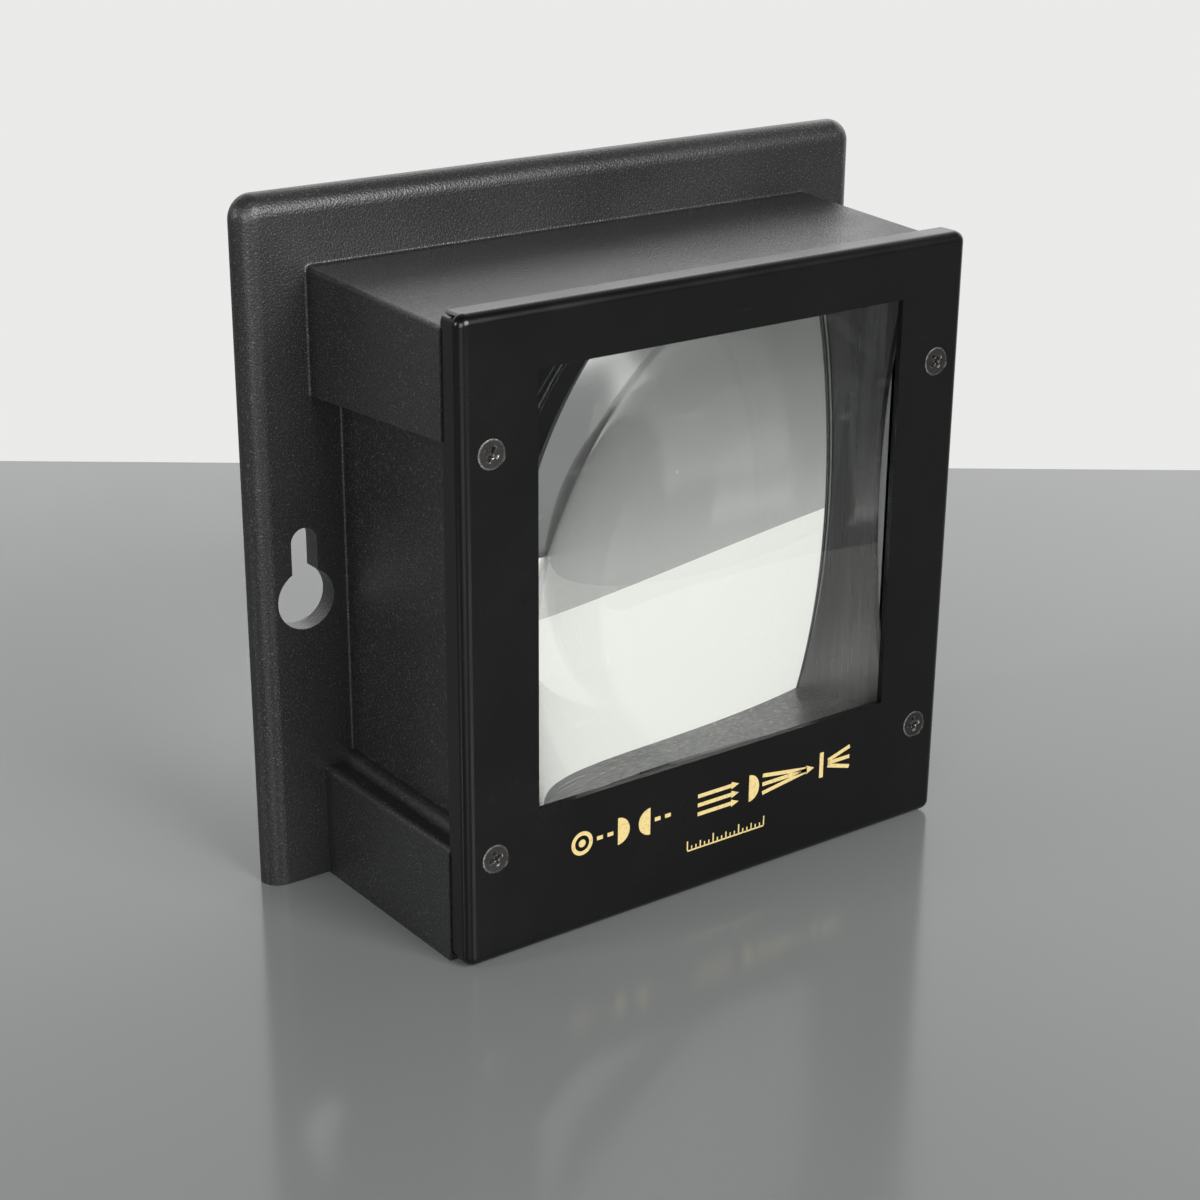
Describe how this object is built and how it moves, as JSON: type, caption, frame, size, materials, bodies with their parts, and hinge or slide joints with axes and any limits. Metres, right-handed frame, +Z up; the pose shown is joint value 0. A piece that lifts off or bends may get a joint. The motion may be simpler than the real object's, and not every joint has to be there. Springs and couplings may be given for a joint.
{
  "type": "enlarger condenser lens box",
  "caption": "Square condenser lens box with a rear mounting flange, keyhole slots, a folded front plate and a pair of square-cut glass lenses.",
  "frame": {"origin": "centre of the underside, midway between the front plate and the back of the flange", "axes": "+X to the right seen from the front plate, +Y from the front plate towards the flange, +Z up"},
  "size_m": [0.1354, 0.05, 0.128],
  "materials": {
    "moulded_black": "finely pebbled satin moulding",
    "painted_sheet": "smooth satin stoved paint",
    "lens_glass": "polished crown glass with ground edges",
    "spacer_black": "matt black moulding",
    "black_felt": "thin black felt",
    "spring_steel": "blued spring steel strip",
    "blackened_steel": "black oxide, worn bright in the cross recess",
    "insert_brass": "turned brass"
  },
  "bodies": {
    "root": {"housing": "moulded_black", "front_plate": "painted_sheet", "rear_plate": "painted_sheet", "front_lens": "lens_glass", "rear_lens": "lens_glass", "lens_spacer": "spacer_black", "front_lens_gasket": "black_felt", "rear_lens_gasket": "black_felt", "front_lens_strips": "black_felt", "rear_lens_strips": "black_felt", "front_lens_spring": "spring_steel", "rear_lens_spring": "spring_steel", "front_plate_screws": "blackened_steel", "rear_plate_screws": "blackened_steel", "front_screw_inserts": "insert_brass", "rear_screw_inserts": "insert_brass"}
  },
  "joints": []
}
